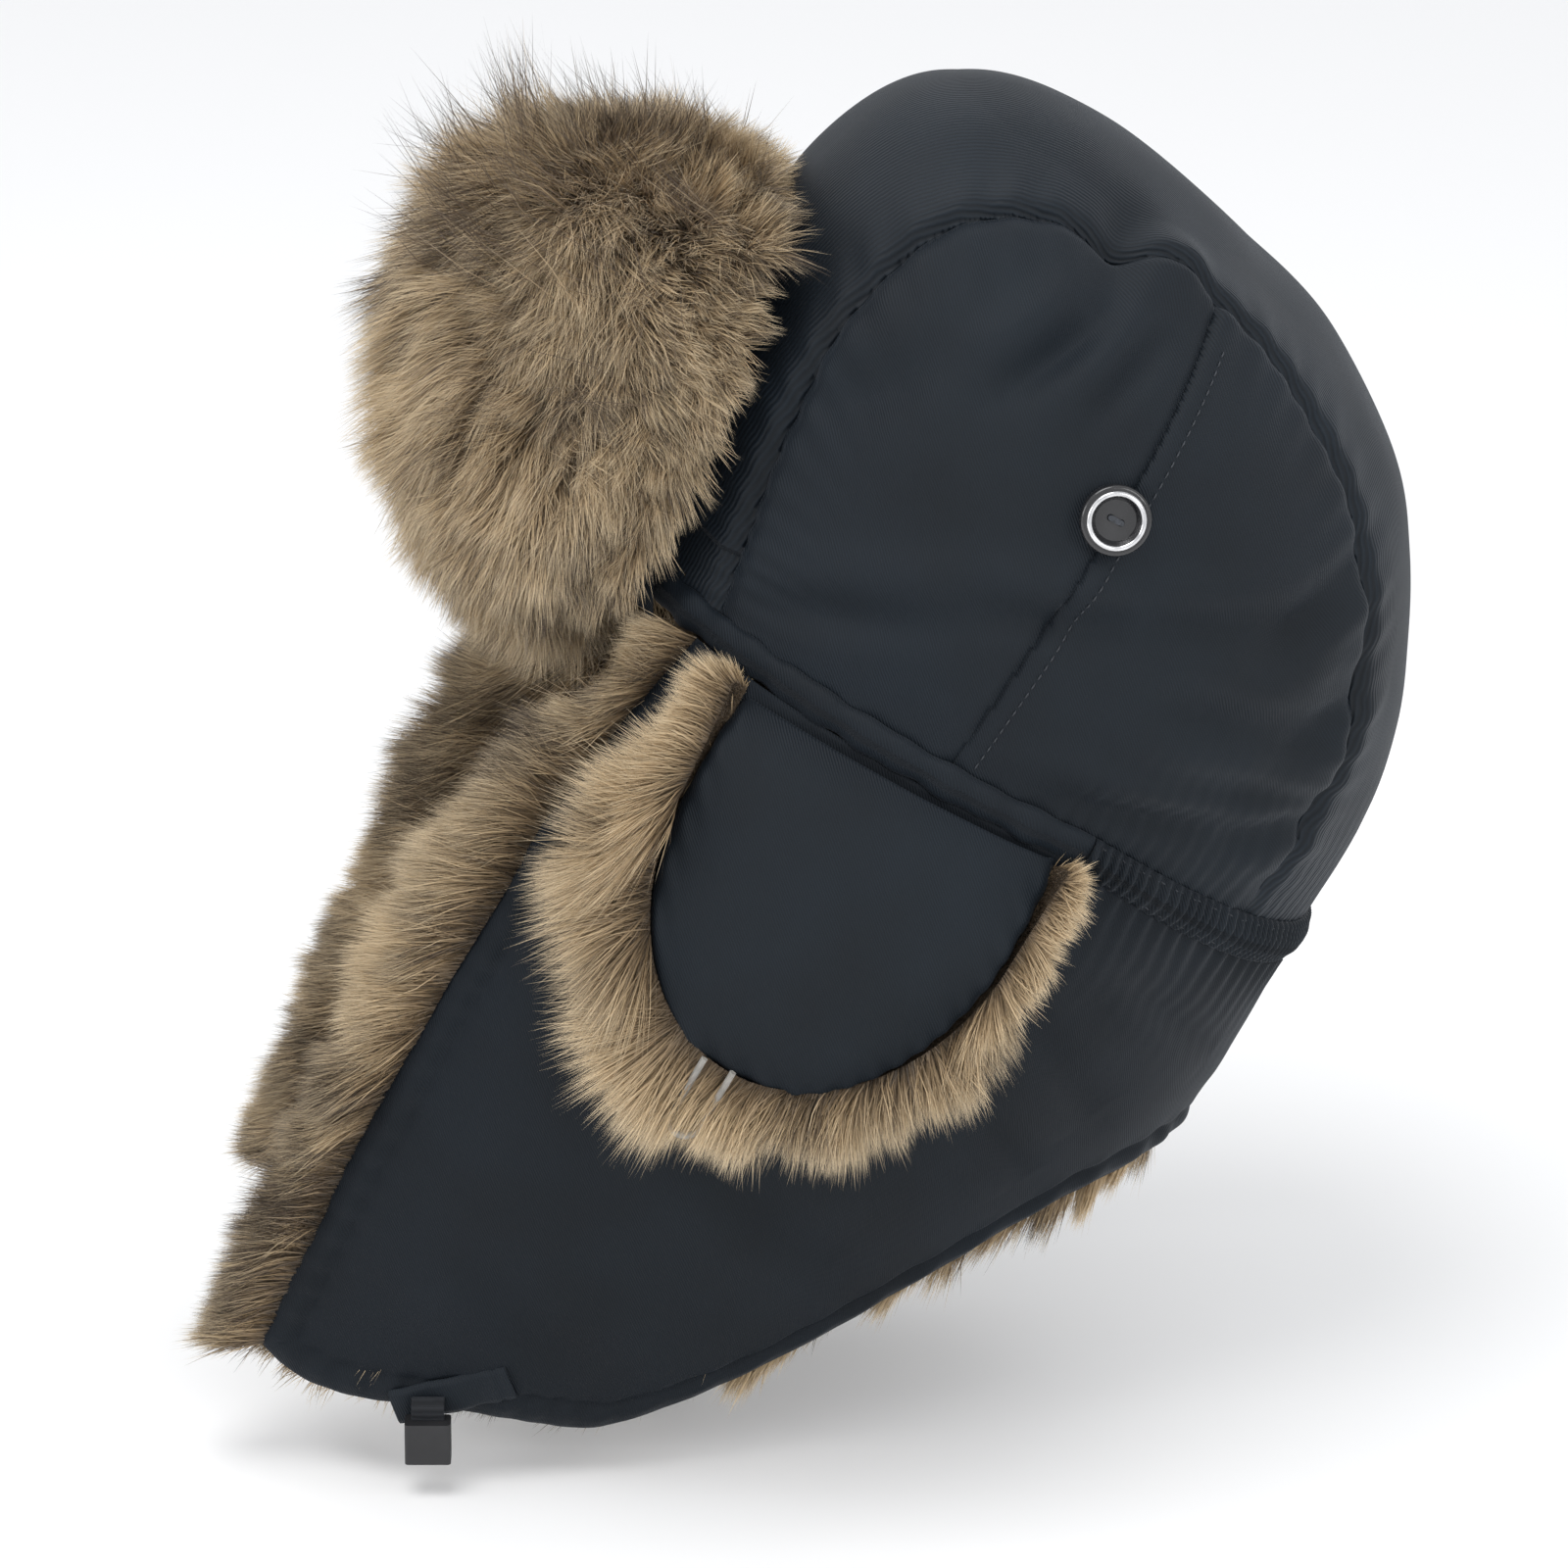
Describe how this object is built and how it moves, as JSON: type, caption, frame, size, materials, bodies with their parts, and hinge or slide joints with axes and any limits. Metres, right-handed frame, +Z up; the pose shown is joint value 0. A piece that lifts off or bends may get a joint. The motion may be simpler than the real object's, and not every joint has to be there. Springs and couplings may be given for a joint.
{
  "type": "trapper hat",
  "caption": "Quilted-crown trapper hat with a turned-up fur visor, long fur-lined cheek and neck flaps, folding ear covers and a chin strap.",
  "frame": {"origin": "Middle of the head opening, in the plane of the band.", "axes": "Worn on an upright head: +Z up, front towards -Y, wearer's left towards +X. The band plane runs down 28 degrees from brow to nape."},
  "size_m": [0.2052, 0.3294, 0.375],
  "materials": {
    "twill": "matte",
    "fur": "matte",
    "lining": "matte",
    "wadding": "matte",
    "woven_elastic": "matte",
    "button_plastic": "gloss",
    "ring_metal": "polished",
    "thread": "matte",
    "clear_elastic": "satin",
    "webbing": "matte",
    "buckle_plastic": "satin"
  },
  "bodies": {
    "crown": {"band_fold": "twill", "button_ring_left": "ring_metal", "button_ring_right": "ring_metal", "button_thread_left": "thread", "button_thread_right": "thread", "crown_centre_panel": "twill", "crown_lining": "lining", "crown_side_front_left": "twill", "crown_side_front_right": "twill", "crown_side_rear_left": "twill", "crown_side_rear_right": "twill", "crown_wadding_centre": "wadding", "crown_wadding_left": "wadding", "crown_wadding_right": "wadding", "nape_casing": "twill", "nape_elastic": "woven_elastic", "neck_curtain_fur": "fur", "neck_curtain_shell": "twill", "side_button_left": "button_plastic", "side_button_right": "button_plastic", "sweatband": "lining"},
    "visor": {"visor_shell": "twill", "visor_wadding": "wadding", "visor_fur": "fur"},
    "cheek_flap_left": {"cheek_flap_shell_left": "twill", "cheek_flap_fur_left": "fur", "chin_tab_left": "twill"},
    "ear_cover_left": {"ear_cover_shell_left": "twill", "ear_cover_fur_left": "fur", "elastic_loop_left": "clear_elastic"},
    "cheek_flap_right": {"cheek_flap_shell_right": "twill", "cheek_flap_fur_right": "fur", "chin_tab_right": "twill"},
    "ear_cover_right": {"ear_cover_shell_right": "twill", "ear_cover_fur_right": "fur", "elastic_loop_right": "clear_elastic"},
    "chin_strap_end_left": {"chin_strap_left": "webbing", "buckle_socket": "buckle_plastic"},
    "chin_strap_end_right": {"chin_strap_right": "webbing", "buckle_prong": "buckle_plastic"}
  },
  "joints": [
    {"name": "visor_fold", "type": "hinge", "parent": "crown", "child": "visor", "pos_m": [0, -0.10303, 0.04799], "axis": [1, 0, 0], "range_deg": [0, 60]},
    {"name": "cheek_flap_left_swing", "type": "hinge", "parent": "crown", "child": "cheek_flap_left", "pos_m": [0.09, -0.00188, -0.00353], "axis": [0, -0.8829, 0.4695], "range_deg": [0, 15]},
    {"name": "ear_cover_left_fold", "type": "hinge", "parent": "cheek_flap_left", "child": "ear_cover_left", "pos_m": [0.099, -0.00188, -0.00353], "axis": [-0.15, -0.873, 0.4642], "range_deg": [0, 150]},
    {"name": "chin_strap_left_swing", "type": "hinge", "parent": "cheek_flap_left", "child": "chin_strap_end_left", "pos_m": [0.07857, -0.14576, -0.17884], "axis": [0, -1, 0], "range_deg": [0, 75]},
    {"name": "cheek_flap_right_swing", "type": "hinge", "parent": "crown", "child": "cheek_flap_right", "pos_m": [-0.09, -0.00188, -0.00353], "axis": [0, 0.8829, -0.4695], "range_deg": [0, 15]},
    {"name": "ear_cover_right_fold", "type": "hinge", "parent": "cheek_flap_right", "child": "ear_cover_right", "pos_m": [-0.099, -0.00188, -0.00353], "axis": [-0.15, 0.873, -0.4642], "range_deg": [0, 150]},
    {"name": "chin_strap_right_swing", "type": "hinge", "parent": "cheek_flap_right", "child": "chin_strap_end_right", "pos_m": [-0.07857, -0.14576, -0.17884], "axis": [0, 1, 0], "range_deg": [0, 75]}
  ]
}
